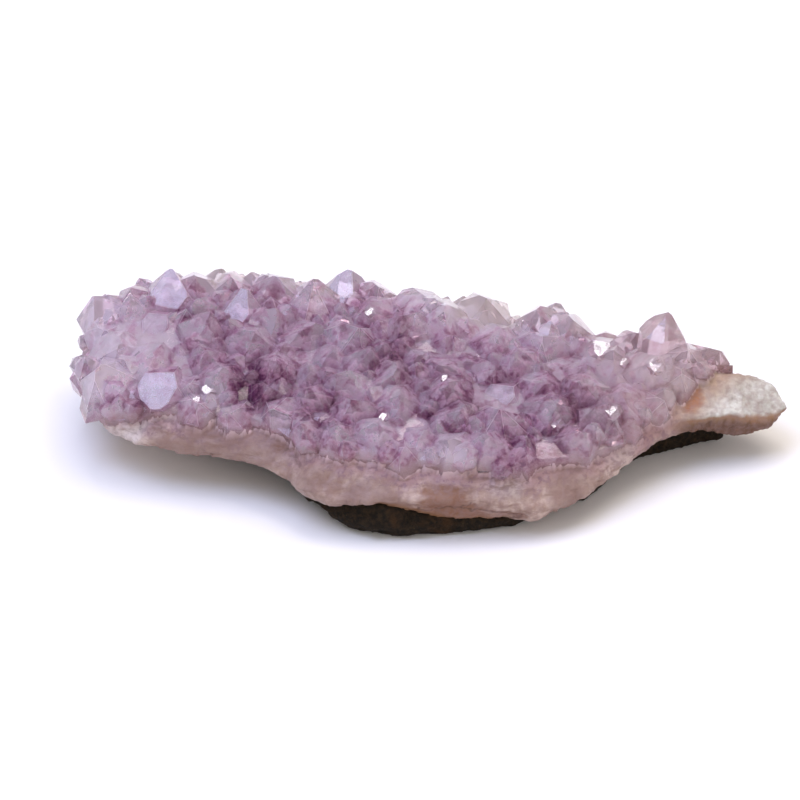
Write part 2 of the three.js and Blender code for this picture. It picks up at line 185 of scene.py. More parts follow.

# %% [markdown]
# ## The plan of the plate
#
# The solid model is made from a few smooth outlines and heights. To finish its crystals one by one,
# the lesson repeats the two outlines that place them, the bed's edge and the white quartz's edge.
# Each is a closed curve through listed points, and is walked in even steps. All numbers here
# are millimetres of the plate, seen from above.

# %% The outlines
CRYSTAL_EDGE = [
    (-63.2, 6), (-62.2, -3.5), (-56, -7.5), (-44, -9), (-35, -10.5), (-27, -14), (-19, -20), (-8, -23),
    (5, -24), (17, -23.5), (26, -20.5), (34, -15), (40, -9), (44, -3), (48, 2.5), (53, 6), (57.5, 9.5),
    (54, 13), (45, 15), (36, 14.5), (30, 17), (23, 22), (10, 25), (-3, 27.5), (-16, 29.5), (-30, 30),
    (-43, 30), (-55, 28.5), (-62, 24.5), (-63.5, 14),
]
QUARTZ_EDGE = [
    (-61, 4), (-59, -5), (-52.5, -10.7), (-43, -13), (-33, -15), (-26, -20), (-19.5, -26.5), (-8, -28.5),
    (5, -28.5), (18, -28), (27, -24.5), (35, -16.5), (42, -9), (49, -4), (58, -2.5), (64.5, -0.5), (66, 4),
    (61.5, 9), (54, 12), (45, 13.5), (36, 13.5), (30, 16), (23, 21), (10, 24), (-3, 26.5), (-16, 28.5),
    (-30, 29), (-43, 29), (-54, 27.5), (-60, 22.5), (-61.5, 13),
]
print("points of the outlines:", len(CRYSTAL_EDGE), "and", len(QUARTZ_EDGE))

# %% Walking along an outline
EDGE_SAMPLES = 58
TABLE_STEPS = 200  # steps of the table that turns distance along a curve into its own parameter


def points_along(outline, t):
    """Points of the closed centripetal curve through an outline, at shares t of its own points."""
    outline = np.array(outline, float)
    count = len(outline)
    first = np.floor(count * t).astype(int)
    part = (count * t - first)[:, None]
    p = [outline[(first + k) % count] for k in (-1, 0, 1, 2)]
    gap = [np.linalg.norm(p[k + 1] - p[k], axis=1)[:, None] ** 0.5 for k in range(3)]
    slope = [
        gap[1] * ((p[k + 1] - p[k]) / gap[k] - (p[k + 2] - p[k]) / (gap[k] + gap[k + 1])
                  + (p[k + 2] - p[k + 1]) / gap[k + 1])
        for k in range(2)
    ]
    square = -3 * p[1] + 3 * p[2] - 2 * slope[0] - slope[1]
    cube = 2 * p[1] - 2 * p[2] + slope[0] + slope[1]
    return p[1] + part * (slope[0] + part * (square + part * cube))


def smooth_edge(outline):
    steps = np.arange(TABLE_STEPS + 1) / TABLE_STEPS
    walked = np.linalg.norm(np.diff(points_along(outline, steps), axis=0), axis=1)
    distance = np.concatenate([[0], np.cumsum(walked)])
    wanted = distance[-1] * np.arange(EDGE_SAMPLES) / EDGE_SAMPLES
    return points_along(outline, np.interp(wanted, distance, steps))


crystal_edge = smooth_edge(CRYSTAL_EDGE)
quartz_edge = smooth_edge(QUARTZ_EDGE)
print("edge of the bed starts at", crystal_edge[0].round(2), "then", crystal_edge[1].round(2))

# %% [markdown]
# ## The surface that the crystals grow on
#
# The bed is a gentle crown that rises towards the back and rounds down at its edge, with low waves
# all over it. A place's depth inside the edge gives the rounding, and a smooth wave that depends only
# on the place gives the rest.

# %% How deep a place lies inside an edge
NEARLY_ZERO = 1e-12


def depth_and_way_out(edge, place):
    """How far a place lies inside an edge, negative outside, and the direction out of it."""
    place = np.array(place, float)
    ends = np.roll(edge, -1, axis=0)
    along_side = ends - edge
    share = np.clip(((place - edge) * along_side).sum(1) / (along_side**2).sum(1), 0, 1)
    nearest = edge + share[:, None] * along_side
    distances = np.linalg.norm(nearest - place, axis=1)
    closest = distances.argmin()
    spans = (edge[:, 1] > place[1]) != (ends[:, 1] > place[1])
    start, side, top = edge[spans], along_side[spans], place[1]
    crossed = start[:, 0] + side[:, 0] * (top - start[:, 1]) / side[:, 1]
    sign = 1 if (place[0] < crossed).sum() % 2 else -1
    out = (nearest[closest] - place) * sign
    return sign * distances[closest], out / max(np.linalg.norm(out), NEARLY_ZERO)


print("the middle lies", round(depth_and_way_out(crystal_edge, (0, 0))[0], 1), "mm inside the bed's edge")

# %% The bed's height
BED_CROWN = [(-66, 15), (-45, 16), (-20, 14.6), (5, 14.8), (25, 13.4), (40, 13), (54, 13.2), (66, 13)]
BED_TILT = 0.09  # rise for each millimetre towards the back
SHOULDER_DROP = 3.2
SHOULDER_WIDTH = 4
BED_WAVE = 0.9
WAVE_SIZE = 17


def lattice(i, j):
    """A number from -1 to 1 that looks random, but is always the same at one point of the lattice."""
    s = math.sin(i * 127.1 + j * 311.7) * 43758.5453
    return 2 * (s - math.floor(s)) - 1


def eased(share):
    share = min(max(share, 0), 1)
    return share * share * (3 - 2 * share)


def wave(x, y):
    i, j = math.floor(x), math.floor(y)
    right, back = eased(x - i), eased(y - j)
    front_row = (1 - right) * lattice(i, j) + right * lattice(i + 1, j)
    back_row = (1 - right) * lattice(i, j + 1) + right * lattice(i + 1, j + 1)
    return (1 - back) * front_row + back * back_row


def crown(x):
    for (x0, z0), (x1, z1) in zip(BED_CROWN, BED_CROWN[1:]):
        if x < x1:
            return z0 + (z1 - z0) * eased((x - x0) / (x1 - x0))
    return BED_CROWN[-1][1]


def bed_height(x, y):
    depth = max(depth_and_way_out(quartz_edge, (x, y))[0], -SHOULDER_WIDTH)
    shoulder = SHOULDER_DROP * math.exp(-depth / SHOULDER_WIDTH)
    return crown(x) + BED_TILT * y - shoulder + BED_WAVE * wave(x / WAVE_SIZE, y / WAVE_SIZE)


print("bed height in the middle", round(bed_height(0, 0), 2), "mm")

# %% [markdown]
# ## One quartz crystal
#
# A quartz crystal is a six-sided prism that ends in a pyramid, whose six faces make 51.8 degrees
# with the axis. They are seldom equal, and on some crystals one is far larger than the rest. Such a
# shape is the space behind thirteen flat faces, so its corners are the points where three faces meet
# and that lie behind all the others. The convex hull of those corners is the crystal. Modelling each
# by hand would give the same shape, but not a hundred of them with a few numbers each.

# %% A crystal's faces and corners
PYRAMID = math.radians(51.8)  # between a pyramid face's direction and the axis
PRISM_SHARE = (0.8, 1.05)  # distance of a prism face from the axis, for the radius
PYRAMID_LATER = (0, 0.34)  # how much further out a pyramid face lies, for the radius
LARGE_FACE = -0.12  # the same for a crystal's one large face, which lies further in
SAME_PLACE = 1e-6
FACES = 13
TRIPLES = np.array([(a, b, c) for a in range(FACES) for b in range(a) for c in range(b)])

RANDOM_STEP, RANDOM_RANGE = 48271, 2147483647
seed = 4711


def between(low, high):
    """The next of a fixed row of random numbers, the same one that the solid model uses."""
    global seed
    seed = seed * RANDOM_STEP % RANDOM_RANGE
    return low + (high - low) * seed / RANDOM_RANGE


def crystal_faces(radius, height, root, spin, large=None):
    """Directions and distances of a crystal's faces: the bottom, then prism and pyramid in turn."""
    ways = [(0.0, 0.0, -1.0)]
    distances = [root]
    for i in range(6):
        x, y = math.cos(spin + i * math.pi / 3), math.sin(spin + i * math.pi / 3)
        ways += [(x, y, 0.0), (x * math.sin(PYRAMID), y * math.sin(PYRAMID), math.cos(PYRAMID))]
        distances.append(radius * between(*PRISM_SHARE))
        later = LARGE_FACE if i == large else between(*PYRAMID_LATER)
        distances.append(height * math.cos(PYRAMID) + radius * later)
    return np.array(ways), np.array(distances)


def corners_behind(ways, distances):
    """The points where three faces meet and that no other face cuts off."""
    meeting = ways[TRIPLES]
    fit = np.abs(np.linalg.det(meeting)) > SAME_PLACE
    corners = np.linalg.solve(meeting[fit], distances[TRIPLES[fit]][:, :, None])[:, :, 0]
    return corners[(corners @ ways.T <= distances + SAME_PLACE).all(axis=1)]


print("ways to choose three of", FACES, "faces:", len(TRIPLES))

# %% [markdown]
# ## Edges, and what a face knows of itself
#
# A real crystal edge is sharp but chipped, and the thin line of light that it gives is what makes one
# face stand out from the next. A narrow bevel does that. Each face also keeps a few numbers for the
# material, because the colour differs a little from face to face: how deep its sector of the crystal
# is, whether it is a chipped edge, and whether it is the crystal's one large clean face. The material
# paints worn spots of chipped edges white and the large face paler, which is partly painted highlight.

# %% Growing one crystal
UP = Vector((0, 0, 1))
SECTOR_STEP = 0.4  # every second face is this much deeper in colour
SAME_FACE = 0.9995  # cosine between two directions that count as one
SAME_POINT = 1e-3  # corners nearer than this are one corner, in mm
FLAT = 0.01  # an edge with a smaller angle than this, in radians, isn't an edge of the crystal


def hull_of(corners, bevel):
    """The convex hull of some corners in mm, with bevelled edges where a bevel is given."""
    shape = bmesh.new()
    for corner in corners:
        shape.verts.new(corner * MM)
    bmesh.ops.remove_doubles(shape, verts=shape.verts, dist=SAME_POINT * MM)
    bmesh.ops.convex_hull(shape, input=shape.verts)
    bmesh.ops.delete(shape, geom=[v for v in shape.verts if not v.link_faces], context="VERTS")
    bmesh.ops.dissolve_limit(shape, angle_limit=FLAT, verts=shape.verts, edges=shape.edges)
    if bevel:
        bmesh.ops.bevel(shape, geom=shape.edges[:], offset=bevel * MM, segments=1, affect="EDGES",
                        clamp_overlap=True)
    shape.normal_update()
    return shape


def grow(name, faces, foot, lean, bevel, folder, values, large=None):
    """Adds a crystal to a folder. The values belong to the whole crystal, large to one face."""
    turn = UP.rotation_difference(Vector(lean))
    ways = [turn @ Vector(way) for way in faces[0]]
    sectors = [SECTOR_STEP * (k // 2 % 2) + between(0, 1 - SECTOR_STEP) for k in range(len(ways))]
    shape = hull_of([turn @ Vector(corner) + Vector(foot) for corner in corners_behind(*faces)], bevel)
    layers = {key: shape.faces.layers.float.new(key) for key in ("chipped", "sector", "clean_face_and_highlight", *values)}
    for face in shape.faces:
        likeness = [face.normal.dot(way) for way in ways]
        nearest = int(np.argmax(likeness))
        # the one large face, which the material paints paler, partly as a painted reflection
        clean_face_and_highlight = large is not None and nearest == 2 + 2 * large
        chipped = likeness[nearest] < SAME_FACE
        own = {"chipped": float(chipped), "sector": sectors[nearest], "clean_face_and_highlight": float(clean_face_and_highlight), **values}
        for key, value in own.items():
            face[layers[key]] = value
    mesh = bpy.data.meshes.new(name)
    shape.to_mesh(mesh)
    shape.free()
    folder.objects.link(bpy.data.objects.new(name, mesh))


# %% [markdown]
# ## Where the large crystals stand
#
# The 27 crystals that stand out in the photograph were placed one by one. The bed between them was
# filled by trying random places, from large crystals to small ones, and keeping each that has room. At
# the bed's edge they are smaller and lean out, because they grew away from the wall. Placing all of
# them by hand would match the photograph better, but its middle is too even to tell them apart.

# %% Crystals placed one by one
NOTABLE = [
    (-48.1, -3.5, 4.3, 5.5, -1.06, -4.4, 24, 1), (-57.3, 1, 6.4, 6.2, -0.35, -0.55, 10, None),
    (-59.5, 20.5, 4.8, 6.8, -0.3, -0.2, 20, None), (-49.8, 12.5, 3.7, 3.8, -1.2, -3.2, 15, 1),
    (-47, 20.5, 4.4, 7.6, 0.08, 0.2, 8, 4), (-42.5, 26, 4.2, 6.8, 0, -0.4, 5, None),
    (-35.9, 25.5, 4.2, 7, 0.05, -0.45, 44, None), (-34, 17.5, 4, 6.6, 0.08, 0.2, 8, 4),
    (-27.5, 25, 4.8, 7, 0, -0.4, 15, None), (-15, 25.5, 5, 7, 0.08, 0.2, 8, 4),
    (-9, 25, 4.2, 6.6, 0.1, -0.4, 52, None), (-37.5, -2, 4.8, 6, 0.1, -0.5, 25, None),
    (-32, 8, 5.4, 7, 0.15, -0.5, 36, None), (-25, -11, 5, 5.6, -0.5, -0.9, 30, 4),
    (-14, 10.5, 5.6, 7.4, 0.15, -0.45, 20, None), (-9, -17.5, 4.8, 5.6, 0.1, -0.6, 40, None),
    (3, 15.5, 5.2, 7.4, 0.1, -0.5, 50, None), (5, -19.5, 5, 6, -0.15, -0.6, 28, None),
    (10.5, 20.5, 5.2, 7.2, 0.1, -0.4, 12, None), (13.2, -5.5, 4, 4.2, -1.2, -3.2, 15, 1),
    (21.2, 17.6, 4.8, 8, -0.1, -0.35, 6, None), (26, 16.4, 4.8, 8, 0.15, -0.4, 38, None),
    (29.5, 10.8, 3.6, 3.9, -1.2, -3.2, 15, 1), (33, 4, 5.4, 6.4, 0.2, -0.5, 40, None),
    (40, 3, 5, 6.4, 0.25, -0.45, 34, None), (42.5, 10.7, 4.55, 9.7, 0.19, 0.19, 305, None),
    (52, 9.5, 3.8, 5, 0.35, -0.4, 30, None),
]  # place x and y, radius, height, lean in x and y, turn in degrees, number of its large face
places = [
    {"at": (x, y), "radius": radius, "height": height, "spin": math.radians(turn), "large": large,
     "lean": Vector((lean_x, lean_y, 1)).normalized()}
    for x, y, radius, height, lean_x, lean_y, turn, large in NOTABLE
]
print("crystals placed by hand", len(places))

# %% Crystals that fill the bed
FILLERS = [
    (500, (5.1, 6.3), (1.05, 1.25)), (900, (4.1, 5), (1.05, 1.3)), (2500, (3.2, 4.1), (1.05, 1.3)),
]  # tries, radius, and height for the radius
FILL_X, FILL_Y = (-66, 58), (-28, 31)
EDGE_OVERLAP = 0.2  # how far inside the bed's edge a crystal stands, for its radius
EDGE_RADIUS = 3.2  # the largest crystal right at the bed's edge
EDGE_GROWTH = 0.5  # how much larger it may be for each millimetre further in
CROWDING = 0.61  # distance between two crystals for the sum of their radii
EDGE_LEAN = 0.5  # how strongly the crystals at the edge lean out
LOOSE_LEAN = 0.3  # how far any crystal leans by itself
FRONT_LEAN = 0.45  # how far all of them lean to the front


def lean_at(place, loose):
    """The way a crystal points: up, a little to the front, and outward near the bed's edge."""
    depth, out = depth_and_way_out(crystal_edge, place)
    outward = out * EDGE_LEAN * math.exp(-max(depth, 0) / SHOULDER_WIDTH)
    return Vector((outward[0] + loose[0], outward[1] + loose[1] - FRONT_LEAN, 1)).normalized()


for tries, radii, stands in FILLERS:
    for _ in range(tries):
        at = (between(*FILL_X), between(*FILL_Y))
        radius = between(*radii)
        height = radius * between(*stands)
        spin = between(0, math.pi / 3)
        loose = (between(-LOOSE_LEAN, LOOSE_LEAN), between(-LOOSE_LEAN, LOOSE_LEAN))
        depth = depth_and_way_out(crystal_edge, at)[0]
        if depth < EDGE_OVERLAP * radius or radius > EDGE_RADIUS + EDGE_GROWTH * depth:
            continue
        if any(math.dist(p["at"], at) < CROWDING * (p["radius"] + radius) for p in places):
            continue
        places.append({"at": at, "radius": radius, "height": height, "spin": spin, "large": None,
                       "lean": lean_at(at, loose)})
print("large crystals", len(places))

# %% [markdown]
# ## Growing the large crystals
#
# Each crystal gets a tint and a haze of its own, because in the real bed some are cloudier than
# others. A real face is seldom one flat mirror either. Small crystals grow out of it in parallel with
# the large one and stand proud by less than a millimetre, which gives the face its low steps. Here
# they are called shoots, and each crystal has one. Crystals with one large face have none, for that
# face is clean. Only the clearest crystals show chipped edges, so only those and the ones with a large
# face are bevelled.

# %% Large crystals and their shoots
ROOT_DEPTH = 4
CHIPPED_EDGE = 0.05
CLEAR = 0.2  # the most haze that a clear crystal has
SHOOT_OUT = (0.3, 0.75)  # distance from the crystal's axis, for its radius
SHOOT_RADIUS = (0.3, 0.65)  # for the crystal's radius
SHOOT_RISE = (0.1, 0.6)
SHOOT_ROOT = 2.5

grown = bpy.data.collections.new("grown_crystals")
bpy.context.scene.collection.children.link(grown)
for p in places:
    p["faces"] = crystal_faces(p["radius"], p["height"], ROOT_DEPTH, p["spin"], p["large"])
    p["foot"] = Vector((*p["at"], bed_height(*p["at"])))

for n, p in enumerate(places):
    own = {"tint": between(0, 1), "haze": between(0, 1)}
    bevel = CHIPPED_EDGE if own["haze"] < CLEAR or p["large"] is not None else 0
    grow(f"large_{n}", p["faces"], p["foot"], p["lean"], bevel, grown, own, p["large"])
    if p["large"] is not None:
        continue
    ways, distances = p["faces"]
    slants = ways[:, 2] > 0
    angle, out = between(0, 2 * math.pi), p["radius"] * between(*SHOOT_OUT)
    radius, rise = p["radius"] * between(*SHOOT_RADIUS), between(*SHOOT_RISE)
    aside = np.array([out * math.cos(angle), out * math.sin(angle)])
    surface = ((distances - ways[:, :2] @ aside)[slants] / ways[slants, 2]).min()
    faces = crystal_faces(radius, surface + rise, SHOOT_ROOT - surface, p["spin"])
    foot = p["foot"] + UP.rotation_difference(p["lean"]) @ Vector((*aside, 0))
    grow(f"shoot_{n}", faces, foot, p["lean"], 0, grown, own)

# %% [markdown]
# ## Working on copies of the solids
#
# The solids themselves stay as they are. Each piece starts from a copy with its corners joined into
# one closed mesh, because voxel remeshing and boolean modifiers both need a closed one. A modifier's
# result is then kept as the piece's own mesh.

# %% Copies and modifiers
WELD = 1e-4  # corners nearer than this are one corner, in mm


def welded_copy(node, name):
    shape = bmesh.new()
    shape.from_mesh(frame["nodes"][node].data)
    bmesh.ops.remove_doubles(shape, verts=shape.verts, dist=WELD * MM)
    mesh = bpy.data.meshes.new(name)
    shape.to_mesh(mesh)
    shape.free()
    made = bpy.data.objects.new(name, mesh)
    bpy.context.collection.objects.link(made)
    return made


def tree_of(thing):
    """A tree of a thing's faces, in which rays are cast and near points are found."""
    shape = bmesh.new()
    shape.from_mesh(thing.data)
    found = BVHTree.FromBMesh(shape)
    shape.free()
    return found


def keep_modified(thing):
    graph = bpy.context.evaluated_depsgraph_get()
    mesh = bpy.data.meshes.new_from_object(thing.evaluated_get(graph))
    thing.modifiers.clear()
    thing.data = mesh
    mesh.name = thing.name


def put_away(things):
    for thing in list(things):
        mesh = thing.data
        bpy.data.objects.remove(thing)
        bpy.data.meshes.remove(mesh)


amethyst = welded_copy("amethyst_crystals", "amethyst_bed")
solid_tree = tree_of(amethyst)
print("the solid bed has", len(amethyst.data.polygons), "triangles")

# %% [markdown]
# ## Small crystals in the valleys
#
# Between the large crystals the real bed is full of smaller ones. A ray is dropped at many places,
# and where it lands lower than the ground around it, in a valley, a small crystal grows.

# %% Small crystals
TRIES = 2500
SMALL_X, SMALL_Y = (-68, 58), (-27, 33)
SMALL_RADIUS = (1.5, 2.8)
SMALL_STANDS = (0.95, 1.25)  # height for the radius
SMALL_ROOT = 1.6  # for the radius
SMALL_CROWDING = 0.95
SLOPE_LEAN = 0.4  # how strongly a small crystal leans with the slope that it stands on
SKY = 60  # the rays start this high
LOOK_ROUND = 1.9  # the ground is compared at this distance, for the radius
ENOUGH = 5  # at least so many of the eight places around have to be on the bed
VALLEY = 0.7  # how far the ground around is higher, for the radius
AROUND = [(math.cos(a), math.sin(a)) for a in np.arange(8) * math.pi / 4]


def ground(x, y):
    """Where a ray from above meets the solid bed, and how the bed slopes there."""
    hit, normal, _, _ = solid_tree.ray_cast(Vector((x, y, SKY)) * MM, -UP)
    return (None, None) if hit is None else (hit / MM, normal)


small = []
for _ in range(TRIES):
    x, y = between(*SMALL_X), between(*SMALL_Y)
    radius, stands = between(*SMALL_RADIUS), between(*SMALL_STANDS)
    loose = (between(-LOOSE_LEAN, LOOSE_LEAN), between(-LOOSE_LEAN, LOOSE_LEAN))
    foot, normal = ground(x, y)
    if foot is None or any(math.dist((x, y), at) < SMALL_CROWDING * (radius + r) for at, r in small):
        continue
    near = [ground(x + LOOK_ROUND * radius * c, y + LOOK_ROUND * radius * s)[0] for c, s in AROUND]
    near = [p.z for p in near if p is not None]
    if len(near) < ENOUGH or sum(near) / len(near) - foot.z < VALLEY * radius:
        continue
    small.append(((x, y), radius))
    lean_x, lean_y = loose[0] + SLOPE_LEAN * normal.x, loose[1] + SLOPE_LEAN * normal.y - FRONT_LEAN
    lean = Vector((lean_x, lean_y, 1)).normalized()
    faces = crystal_faces(radius, stands * radius, SMALL_ROOT * radius, between(0, math.pi / 3))
    own = {"tint": between(0, 1), "haze": between(0, 1)}
    grow(f"small_{len(small)}", faces, foot, lean, 0, grown, own)
print("small crystals", len(small))

# %% [markdown]
# ## Sparks
#
# A few faces of the real bed happen to mirror a lamp to the camera and flash white. They are small and
# lie at known places of the photograph. A small crystal grows at each, out of the surface that the
# line of sight meets there, and leans so that its one large face mirrors the small far lamp.

# %% Crystals that flash
GLINTS = [
    (32, 7.5, 2.3), (42, 2, 1.6), (23.5, -17, 1.5), (33.7, -13, 1.5), (-10.4, 20.5, 1.1), (-39.5, -6, 1.4),
    (-41.5, -9, 0.9), (-7.7, -15, 0.9), (36, 3.5, 1.1), (3.5, -2, 0.8), (-63, 2, 0.8),
]  # place x and y where the line of sight crosses GLINT_LEVEL, and radius
GLINT_LEVEL = 17
GLINT_AWAY = 60  # the rays along the line of sight start this far out
GLINT_SUNK, GLINT_STANDS, GLINT_ROOT = 0.2, 1.1, 2  # for the radius
GLINT_TURN = math.radians(15)
GLINT_LEAN = Vector((-0.6, -2.3, 1)).normalized()
GLINT_FACE = 1  # number of the large face
# A light tint makes the flashing crystals' own colour add to their flash: painted highlight in part.
GLINT_LOOK = {"tint": 0.2, "haze": 0}

for n, (x, y, radius) in enumerate(GLINTS):
    start = Vector((x, y, GLINT_LEVEL)) + towards_camera * GLINT_AWAY
    front = solid_tree.ray_cast(start * MM, -towards_camera)[0] / MM
    foot = front - towards_camera * GLINT_SUNK * radius
    faces = crystal_faces(radius, GLINT_STANDS * radius, GLINT_ROOT * radius, GLINT_TURN, GLINT_FACE)
    grow(f"glint_{n}", faces, foot, GLINT_LEAN, 0, grown, GLINT_LOOK, GLINT_FACE)
print("crystals that flash", len(GLINTS))

# %% [markdown]
# ## Joining the bed
#
# Crystals that grew together are one body, so one boolean union joins them with the crust of their
# fused roots. The crust is the lower layer of the solid. Two blocks with the bed's own surface on top
# cut it: the first keeps the solid's crust, and after the union the second takes away what the
# crystals' roots reach below it.

# %% Blocks under the bed
CRUST_THICKNESS = 2.1  # just inside the solid's own crust of 2.2 mm
CUT_LIFT = 0.02  # the cut lies this far over the solid's own underside, so the two never coincide
GRID_LOW, GRID_HIGH = (-76, -40), (76, 42)  # the blocks' corners in plan
GRID_STEP = 9.5  # the same as in the solid, so that the two undersides run alike
DEEP = -30


def block_under(name, lift):
    """A block whose top is the bed's own surface, lifted by so many millimetres."""
    columns, rows = (round((GRID_HIGH[k] - GRID_LOW[k]) / GRID_STEP) for k in (0, 1))
    xs = np.linspace(GRID_LOW[0], GRID_HIGH[0], columns + 1)
    ys = np.linspace(GRID_LOW[1], GRID_HIGH[1], rows + 1)
    corners = [(x * MM, y * MM, (bed_height(x, y) + lift) * MM) for y in ys for x in xs]
    at = np.arange(len(corners)).reshape(rows + 1, columns + 1)
    faces = []
    for j in range(rows):
        for i in range(columns):
            a, b, c, d = at[j, i], at[j, i + 1], at[j + 1, i + 1], at[j + 1, i]
            faces += [(a, b, c), (a, c, d)]
    rim = [*at[0, :-1], *at[:-1, -1], *at[-1, :0:-1], *at[:0:-1, 0]]
    under = len(corners)
    corners += [(corners[n][0], corners[n][1], DEEP * MM) for n in rim]
    count = len(rim)
    faces += [(rim[(n + 1) % count], rim[n], under + n, under + (n + 1) % count) for n in range(count)]
    faces.append([under + n for n in reversed(range(count))])
    mesh = bpy.data.meshes.new(name)
    mesh.from_pydata(corners, [], faces)
    block = bpy.data.objects.new(name, mesh)
    bpy.context.collection.objects.link(block)
    return block


crust_block = block_under("crust_block", CRUST_THICKNESS)
bed_block = block_under("bed_block", CUT_LIFT)
print("a block's faces", len(bed_block.data.polygons))

# %% Crust, union and cut
for title, kind, tool in (
    ("crust", "INTERSECT", crust_block), ("grown_together", "UNION", grown), ("bed", "DIFFERENCE", bed_block),
):
    step = amethyst.modifiers.new(title, "BOOLEAN")
    step.operation = kind
    step.solver = "MANIFOLD"
    if tool is grown:
        step.operand_type = "COLLECTION"
        step.collection = tool
    else:
        step.object = tool
keep_modified(amethyst)
put_away([*grown.objects, crust_block, bed_block])
bpy.data.collections.remove(grown)
amethyst.data.shade_flat()

crystal_tree = tree_of(amethyst)
print("crystal faces", len(amethyst.data.polygons))

# %% [markdown]
# ## From a plain solid to broken stone
#
# Basalt and massive quartz break into lumps, ledges and grain. The solid model already has their
# places and outlines, so each rock starts as a copy of its solid. A voxel remesh gives it small even
# faces, and every point is then moved along its own normal by a sum of noises, one for each size of
# bump that the stone shows. Sculpting by hand would do the same, but could not be repeated.

# %% Helpers for the rocks
def remesh(thing, voxel):
    step = thing.modifiers.new("even_faces", "REMESH")
    step.mode = "VOXEL"
    step.voxel_size = voxel * MM
    keep_modified(thing)


def points_and_normals(mesh):
    points = np.empty(len(mesh.vertices) * 3)
    normals = np.empty(len(mesh.vertices) * 3)
    mesh.vertices.foreach_get("co", points)
    mesh.vertices.foreach_get("normal", normals)
    return points.reshape(-1, 3) / MM, normals.reshape(-1, 3)


def set_points(mesh, points):
    mesh.vertices.foreach_set("co", (points * MM).ravel())
    mesh.update()


def bumps(points, size, offset=0.0):
    """Smooth noise from -1 to 1 at each point, with bumps about size mm long."""
    at = points / size + offset
    return np.array([noise.noise(p) for p in at])


def ridges(points, size, offset=0.0):
    """The same noise folded over, which gives sharp ridges where it was near zero."""
    return 1 - 2 * np.abs(bumps(points, size, offset))


def rough(points, start, rows):
    """A start value for each point, and a noise for each row of kind, amount, size in mm and offset."""
    total = np.full(len(points), start)
    for kind, amount, size, offset in rows:
        total += amount * kind(points, size, offset)
    return total


# %% [markdown]
# ## Light and deep parts of the bed
#
# The colour of amethyst is never even. Here the broad end, the back rim and the narrow end are nearly
# clear, and the middle is a deep mauve. Along the back rim that paleness is partly painted light, for
# the light that shines through those crystals from behind. Soft ellipses with wandering edges say how
# deep the colour is at each place. Both the crystals and the white quartz under them carry it as an
# attribute, which a material can read anywhere, where a painted image would have to be wrapped round
# every crystal.

# %% Colour zones
# Zones below 0 along the back rim are partly painted light: they stand in for light that shines through those
# crystals from behind.
ZONES_AND_BACKLIGHT = [
    (-29, -6, 10, 12, 0.3), (-18, -9, 7, 8, 0.25), (-42, 21, 6, 5, 0.25), (4.5, -8, 6, 9, 0.3),
    (20, -22, 9, 10, 0.35), (26.5, -6, 11, 9, 0.24), (-6, 5, 9, 9, 0.25), (-63, -4, 4, 6, 0.25),
    (-44, -13, 4, 4, 0.3), (-60, 12, 18, 26, -0.42), (5.5, -24, 7, 8, -0.5), (-39, -8, 5, 5, -0.6),
    (15, 24, 25, 14, -1.4), (-39, 31, 13, 9, -0.5), (44, 4, 18, 15, -0.6), (-20, 34, 36, 13, -0.85),
    (-4, -17, 7, 6, -0.2), (-39.5, 26, 6, 5, -1.4), (11, 17, 8, 6, -1.2), (-32.5, -6, 3.5, 3.5, 0.6),
]  # centre x and y, half lengths in x and y, all in mm, and how much deeper in colour
ENDLESS = 1000  # half length upwards, so that a zone reaches through the whole bed
MIDDLE_DEPTH = 0.39
WANDER = 0.45  # how far the spots' edges wander, for their half lengths
WANDER_SIZE = 8
WANDER_OFFSETS = (41, 57, 73)  # one for each direction, so that the three noises differ


def soft_spots(points, spots):
    """The sum of soft ellipsoids at each point. A spot is its centre, half lengths and amount."""
    aside = np.stack([bumps(points, WANDER_SIZE, offset) for offset in WANDER_OFFSETS], axis=1)
    total = np.zeros(len(points))
    for centre, halves, amount in spots:
        away = np.linalg.norm((points - centre) / halves + WANDER * aside, axis=1)
        total += amount * np.clip(1 - away, 0, 1)
    return total


def keep_values(piece, values):
    for title, numbers in values.items():
        piece.data.attributes.new(title, "FLOAT", "POINT").data.foreach_set("value", numbers)


def depth_and_backlight(points):
    columns = [((x, y, 0), (half_x, half_y, ENDLESS), deeper) for x, y, half_x, half_y, deeper in ZONES_AND_BACKLIGHT]
    return MIDDLE_DEPTH + soft_spots(points, columns)


corners = points_and_normals(amethyst.data)[0]
rise = [z - bed_height(x, y) for x, y, z in corners]
keep_values(amethyst, {"rise": rise, "zone_and_backlight": depth_and_backlight(corners)})
print("highest crystal", round(max(rise), 1), "mm over the bed")

# %% [markdown]
# ## Basalt
#
# Basalt is lava that cooled into a dense dark rock, and here it broke off with a rough, slightly
# stepped face. Its bumps are of three sizes: lumps of 5 mm, chips of 2 mm and grain of 0.8 mm. The
# underside stays flat, because the plate stands on it.

# %% Basalt
BASALT_VOXEL = 0.6
BASALT_RELIEF = [(bumps, 0.4, 5, 0), (ridges, 0.36, 2.1, 7), (bumps, 0.18, 0.8, 13)]
SEAM = 0.17  # each rock grows by this much, which closes the solids' 0.3 mm joint
FOOT_FADE = 0.8  # the relief fades out over this height above the table

basalt = welded_copy("basalt_matrix", "basalt")
remesh(basalt, BASALT_VOXEL)
points, normals = points_and_normals(basalt.data)
height = rough(points, SEAM, BASALT_RELIEF)
free = np.clip(points[:, 2] / FOOT_FADE, 0, 1)
points += normals * (height * free)[:, None]
points[:, 2] = np.maximum(points[:, 2], 0)
set_points(basalt.data, points)
basalt.data.shade_smooth()
print("basalt faces", len(basalt.data.polygons))

# %% [markdown]
# ## White quartz
#
# Massive quartz has no crystal faces of its own. It breaks into waxy lumps, with a few hollows and with
# shallow ledges that follow the layers in which it grew. The bare tail has a finer, sugary grain.

